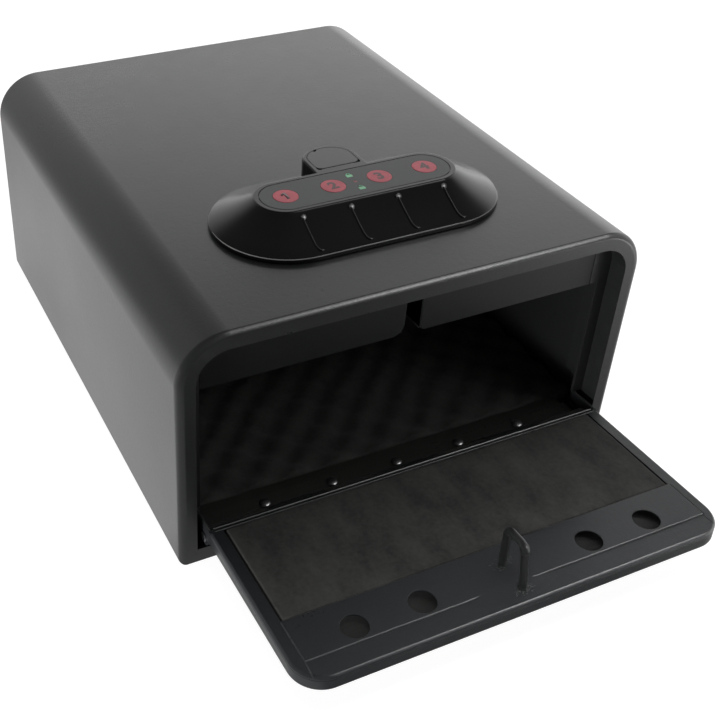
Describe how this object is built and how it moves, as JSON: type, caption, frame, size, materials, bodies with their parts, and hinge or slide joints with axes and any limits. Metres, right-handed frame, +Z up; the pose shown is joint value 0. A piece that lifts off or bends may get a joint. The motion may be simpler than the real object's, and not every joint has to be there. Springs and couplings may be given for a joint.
{
  "type": "quick access safe",
  "caption": "Steel box safe with a drop-down front door, a keypad with push buttons and a key override on its top, foam lining and a latch hook under its top.",
  "frame": {"origin": "centre of the underside of the box", "axes": "+Z up, +X to the right as seen from the front, the doorway and the open door towards -Y"},
  "size_m": [0.25, 0.3969, 0.1476],
  "materials": {
    "powder_coat": "satin black powder coat",
    "zinc_steel": "zinc plated",
    "solenoid_metal": "plated frame round a copper winding",
    "keypad_plastic": "moulded black plastic",
    "overlay_plastic": "matt dark grey label film",
    "red_plastic": "red with dark numerals",
    "lens_plastic": "translucent",
    "board": "green solder mask",
    "key_brass": "machined",
    "cell_wrap": "shrink wrap on a steel can",
    "foam": "charcoal open cell foam"
  },
  "bodies": {
    "safe": {"body_shell": "powder_coat", "back_panel": "powder_coat", "floor_pan": "powder_coat", "sill_channel": "powder_coat", "hinge_leaf_fixed": "powder_coat", "door_stop_left": "powder_coat", "door_stop_right": "powder_coat", "lock_cover": "powder_coat", "hinge_pin": "zinc_steel", "sill_rivet_1": "zinc_steel", "sill_rivet_2": "zinc_steel", "sill_rivet_3": "zinc_steel", "sill_rivet_4": "zinc_steel", "sill_rivet_5": "zinc_steel", "cover_stud_1": "zinc_steel", "cover_stud_2": "zinc_steel", "cover_nut_1": "zinc_steel", "cover_nut_2": "zinc_steel", "latch_post": "zinc_steel", "latch_clip": "zinc_steel", "latch_spring": "zinc_steel", "board_screw_1": "zinc_steel", "board_screw_2": "zinc_steel", "housing_screw_1": "zinc_steel", "housing_screw_2": "zinc_steel", "key_cylinder": "zinc_steel", "key_nut": "zinc_steel", "battery_contact_front": "zinc_steel", "battery_contact_back": "zinc_steel", "solenoid": "solenoid_metal", "keypad_housing": "keypad_plastic", "battery_tray": "keypad_plastic", "keypad_overlay": "overlay_plastic", "status_lens_1": "lens_plastic", "status_lens_2": "lens_plastic", "status_lens_3": "lens_plastic", "circuit_board": "board", "battery_cell_1": "cell_wrap", "battery_cell_2": "cell_wrap", "battery_cell_3": "cell_wrap", "battery_cell_4": "cell_wrap", "floor_mat": "foam"},
    "door": {"door_pan": "powder_coat", "hinge_leaf_door": "powder_coat", "door_inner_plate": "powder_coat", "door_pad": "foam", "staple": "powder_coat"},
    "latch": {"latch_hook": "zinc_steel"},
    "plunger": {"solenoid_plunger": "zinc_steel"},
    "push_button_1": {"button_1": "red_plastic"},
    "push_button_2": {"button_2": "red_plastic"},
    "push_button_3": {"button_3": "red_plastic"},
    "push_button_4": {"button_4": "red_plastic"},
    "key_core": {"key_plug": "key_brass", "key_cam": "zinc_steel"},
    "key_lid": {"key_cover": "keypad_plastic"},
    "battery_lid": {"battery_door": "keypad_plastic"}
  },
  "joints": [
    {"name": "door_hinge", "type": "hinge", "parent": "safe", "child": "door", "pos_m": [0, -0.1467, 0.0159], "axis": [-1, 0, 0], "range_deg": [0, 87.8]},
    {"name": "latch_pivot", "type": "hinge", "parent": "safe", "child": "latch", "pos_m": [-0.008, -0.1064, 0.104], "axis": [0, 0, 1], "range_deg": [0, 45], "stiffness_Nm_per_rad": 0.03},
    {"name": "plunger_slide", "type": "slide", "parent": "safe", "child": "plunger", "axis": [0, 0, -1], "range_m": [0, 0.005]},
    {"name": "button_1_press", "type": "slide", "parent": "safe", "child": "push_button_1", "axis": [0, 0, -1], "range_m": [0, 0.0008], "stiffness_N_per_m": 800},
    {"name": "button_2_press", "type": "slide", "parent": "safe", "child": "push_button_2", "axis": [0, 0, -1], "range_m": [0, 0.0008], "stiffness_N_per_m": 800},
    {"name": "button_3_press", "type": "slide", "parent": "safe", "child": "push_button_3", "axis": [0, 0, -1], "range_m": [0, 0.0008], "stiffness_N_per_m": 800},
    {"name": "button_4_press", "type": "slide", "parent": "safe", "child": "push_button_4", "axis": [0, 0, -1], "range_m": [0, 0.0008], "stiffness_N_per_m": 800},
    {"name": "key_turn", "type": "hinge", "parent": "safe", "child": "key_core", "pos_m": [0, -0.0464, 0.12], "axis": [0, 0, 1], "range_deg": [0, 90]},
    {"name": "key_lid_hinge", "type": "hinge", "parent": "safe", "child": "key_lid", "pos_m": [0, -0.0555, 0.1462], "axis": [1, 0, 0], "range_deg": [0, 95]},
    {"name": "battery_lid_slide", "type": "slide", "parent": "safe", "child": "battery_lid", "axis": [0, 1, 0], "range_m": [0, 0.04]}
  ]
}
